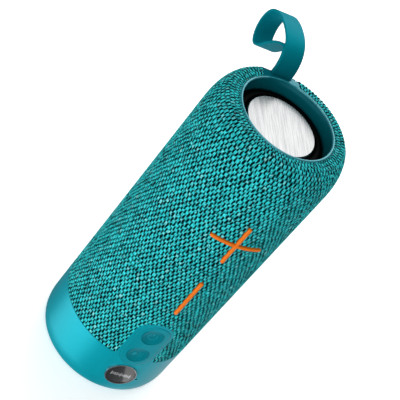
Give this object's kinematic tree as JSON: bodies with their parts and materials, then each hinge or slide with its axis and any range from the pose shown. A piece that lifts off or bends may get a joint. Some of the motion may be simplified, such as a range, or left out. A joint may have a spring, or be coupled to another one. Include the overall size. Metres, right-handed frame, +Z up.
{
  "type": "portable bluetooth speaker",
  "caption": "Fabric-covered tube speaker with a bare base cup, raised volume keys, a passive radiator in its mouth and a silicone carrying strap.",
  "frame": {"origin": "centre of the flat base pad, on the tube's axis", "axes": "+Z up along the tube towards the mouth and strap; the keys face -Y; the strap and charging flap are on the +Y side"},
  "size_m": [0.072, 0.1051, 0.1936],
  "materials": {
    "fabric_teal": "knitted, matte, bright yarns over dark gaps",
    "cup_teal": "satin moulded plastic",
    "ring_teal": "satin moulded plastic, darker inside the mouth",
    "strap_teal": "smooth satin silicone",
    "button_teal": "soft-touch silicone",
    "key_orange": "satin silicone",
    "surround_black": "smooth black rubber",
    "disc_silver": "straight-brushed",
    "badge_black": "polished",
    "bezel_chrome": "polished",
    "pad_rubber": "fine matte texture",
    "black_plastic": "fine moulded texture",
    "white_plastic": "plain moulded",
    "steel": "plated",
    "board": "solder mask over glass fibre",
    "battery_wrap": "heat-shrink film",
    "copper": "enamelled copper winding",
    "cone_paper": "coated pulp",
    "spider_cloth": "resin-dipped cloth"
  },
  "bodies": {
    "casing": {"fabric_sleeve": "fabric_teal", "grille_shell": "black_plastic", "top_ring": "ring_teal", "base_cup": "cup_teal", "base_plate": "black_plastic", "base_pad": "pad_rubber", "base_gasket": "surround_black", "base_screws": "steel", "radiator_frame": "black_plastic", "radiator_surround": "surround_black", "ring_screws": "steel", "strap_tail": "strap_teal", "strap_pin": "steel", "keypad_pad": "button_teal", "key_board": "board", "key_board_screws": "steel", "badge_bezel": "bezel_chrome", "badge_disc": "badge_black", "mic_capsule": "black_plastic", "port_pin": "steel", "usb_socket": "steel", "usb_tongue": "black_plastic", "port_board": "board", "chassis_front": "black_plastic", "chassis_rear": "black_plastic", "chassis_screws": "steel", "battery_cells": "battery_wrap", "battery_tray": "white_plastic", "battery_board": "board", "main_board": "board", "main_board_chips": "steel", "main_board_screws": "steel", "left_basket": "steel", "left_yoke": "steel", "left_magnet": "steel", "left_spider": "spider_cloth", "left_surround": "surround_black", "right_basket": "steel", "right_yoke": "steel", "right_magnet": "steel", "right_spider": "spider_cloth", "right_surround": "surround_black"},
    "radiator": {"radiator_disc": "disc_silver", "radiator_core": "black_plastic", "radiator_weight": "steel"},
    "strap": {"strap_loop": "strap_teal"},
    "plus": {"plus_key": "key_orange", "plus_contact": "surround_black"},
    "minus": {"minus_key": "key_orange", "minus_contact": "surround_black"},
    "power": {"power_button": "button_teal", "power_contact": "surround_black"},
    "play": {"play_button": "button_teal", "play_contact": "surround_black"},
    "flap": {"port_door": "strap_teal"},
    "left_driver": {"left_coil": "copper", "left_cone": "cone_paper"},
    "right_driver": {"right_coil": "copper", "right_cone": "cone_paper"}
  },
  "joints": [
    {"name": "radiator_travel", "type": "slide", "parent": "casing", "child": "radiator", "axis": [0, 0, 1], "range_m": [-0.0025, 0.0025], "stiffness_N_per_m": 900, "deforming": ["radiator_surround"]},
    {"name": "strap_bend", "type": "hinge", "parent": "casing", "child": "strap", "pos_m": [0, 0.0286, 0.1802], "axis": [1, 0, 0], "range_deg": [-40, 60], "stiffness_Nm_per_rad": 0.01, "springref_deg": 3.44},
    {"name": "plus_press", "type": "slide", "parent": "casing", "child": "plus", "axis": [0, 1, 0], "range_m": [0, 0.0005], "stiffness_N_per_m": 2000},
    {"name": "minus_press", "type": "slide", "parent": "casing", "child": "minus", "axis": [0, 1, 0], "range_m": [0, 0.0005], "stiffness_N_per_m": 2000},
    {"name": "power_press", "type": "slide", "parent": "casing", "child": "power", "axis": [0, 1, 0], "range_m": [0, 0.0005], "stiffness_N_per_m": 2000},
    {"name": "play_press", "type": "slide", "parent": "casing", "child": "play", "axis": [0, 1, 0], "range_m": [0, 0.0005], "stiffness_N_per_m": 2000},
    {"name": "flap_open", "type": "hinge", "parent": "casing", "child": "flap", "pos_m": [0, 0.0348, 0.0103], "axis": [-1, 0, 0], "range_deg": [0, 90], "stiffness_Nm_per_rad": 0.0005},
    {"name": "left_cone_travel", "type": "slide", "parent": "casing", "child": "left_driver", "axis": [-1, 0, 0], "range_m": [-0.0015, 0.0015], "stiffness_N_per_m": 1500, "deforming": ["left_surround", "left_spider"]},
    {"name": "right_cone_travel", "type": "slide", "parent": "casing", "child": "right_driver", "axis": [1, 0, 0], "range_m": [-0.0015, 0.0015], "stiffness_N_per_m": 1500, "deforming": ["right_surround", "right_spider"]}
  ]
}
